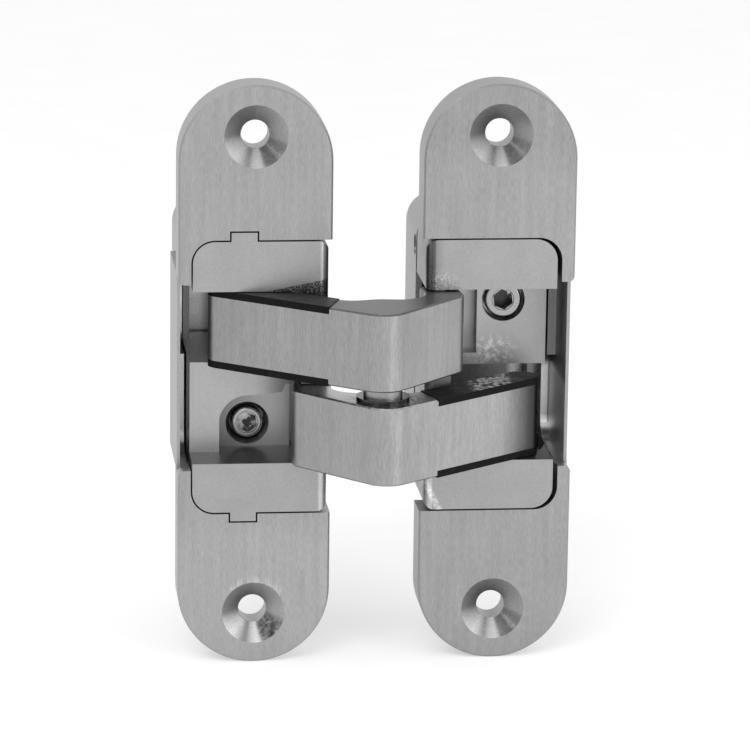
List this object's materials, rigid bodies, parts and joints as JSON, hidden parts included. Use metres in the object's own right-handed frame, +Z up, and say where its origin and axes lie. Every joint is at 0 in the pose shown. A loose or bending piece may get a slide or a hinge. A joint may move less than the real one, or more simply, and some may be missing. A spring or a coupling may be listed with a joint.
{
  "type": "concealed door hinge",
  "caption": "Concealed mortise hinge with two round-ended leaves, crossing arms on a centre pin, and screws that shift each leaf's carriage; folds from flat open to shut.",
  "frame": {"origin": "middle of the left leaf's two screw holes, in the plane of the flange's back", "axes": "+Z up along the leaves, +X toward the right leaf, +Y into the wood behind the faces"},
  "size_m": [0.0738, 0.0568, 0.11],
  "materials": {
    "satin_housing": "vertically brushed satin nickel on zinc casting",
    "cast_carriage": "satin nickel on fine grained zinc casting",
    "satin_arm": "satin nickel, brushed along the height of the arm",
    "polished_steel": "ground steel with a film of grease",
    "nickel_screw": "bright nickel plated steel",
    "black_nylon": "black glass-filled nylon with a slight gloss"
  },
  "bodies": {
    "left_leaf": {"left_housing": "satin_housing"},
    "left_block": {"left_carriage": "cast_carriage", "left_pivot_pin": "polished_steel"},
    "left_screw": {"left_adjusting_screw": "nickel_screw", "left_screw_ring": "nickel_screw"},
    "lower_link": {"lower_arm": "satin_arm", "lower_pivot_bush": "black_nylon", "centre_pin": "polished_steel", "centre_washer": "black_nylon", "lower_arm_top_glide": "black_nylon", "lower_arm_bottom_glide": "black_nylon", "lower_slide_pin": "polished_steel", "lower_slide_roller": "black_nylon"},
    "upper_link": {"upper_arm": "satin_arm", "upper_pivot_bush": "black_nylon", "centre_bush": "black_nylon", "upper_arm_top_glide": "black_nylon", "upper_arm_bottom_glide": "black_nylon", "upper_slide_pin": "polished_steel", "upper_slide_roller": "black_nylon"},
    "right_block": {"right_carriage": "cast_carriage", "right_pivot_pin": "polished_steel"},
    "right_screw": {"right_adjusting_screw": "nickel_screw", "right_screw_ring": "nickel_screw"},
    "right_leaf": {"right_housing": "satin_housing"}
  },
  "joints": [
    {"name": "left_screw_turn", "type": "hinge", "parent": "left_leaf", "child": "left_screw", "pos_m": [-0.00035, 0.0096, -0.0119], "axis": [0, 1, 0], "range_deg": [-450, 450]},
    {"name": "left_depth_slide", "type": "slide", "parent": "left_leaf", "child": "left_block", "axis": [0, -1, 0], "range_m": [-0.001, 0.001]},
    {"name": "fold", "type": "hinge", "parent": "left_block", "child": "lower_link", "pos_m": [0.01085, -0.0056, 0], "axis": [0, 0, -1], "range_deg": [0, 116.08]},
    {"name": "centre_fold", "type": "hinge", "parent": "lower_link", "child": "upper_link", "pos_m": [0.02265, -0.0197, 0], "axis": [0, 0, -1], "range_deg": [-52.16, 0]},
    {"name": "right_fold", "type": "hinge", "parent": "upper_link", "child": "right_block", "pos_m": [0.03445, -0.0056, 0], "axis": [0, 0, -1], "range_deg": [0, 116.09]},
    {"name": "right_screw_turn", "type": "hinge", "parent": "right_block", "child": "right_screw", "pos_m": [0.04805, 0.0096, 0.0114], "axis": [0, -1, 0], "range_deg": [-45, 45]},
    {"name": "right_side_slide", "type": "slide", "parent": "right_block", "child": "right_leaf", "axis": [1, 0, 0], "range_m": [-0.00064, 0.00064]}
  ],
  "couplings": [
    {"joint": "centre_fold", "follows": "fold", "ratio": -0.44933},
    {"joint": "right_fold", "follows": "fold", "ratio": 1},
    {"joint": "left_screw_turn", "follows": "left_depth_slide", "rad_per_m": 7854},
    {"joint": "right_screw_turn", "follows": "right_side_slide", "rad_per_m": 1234.1}
  ]
}
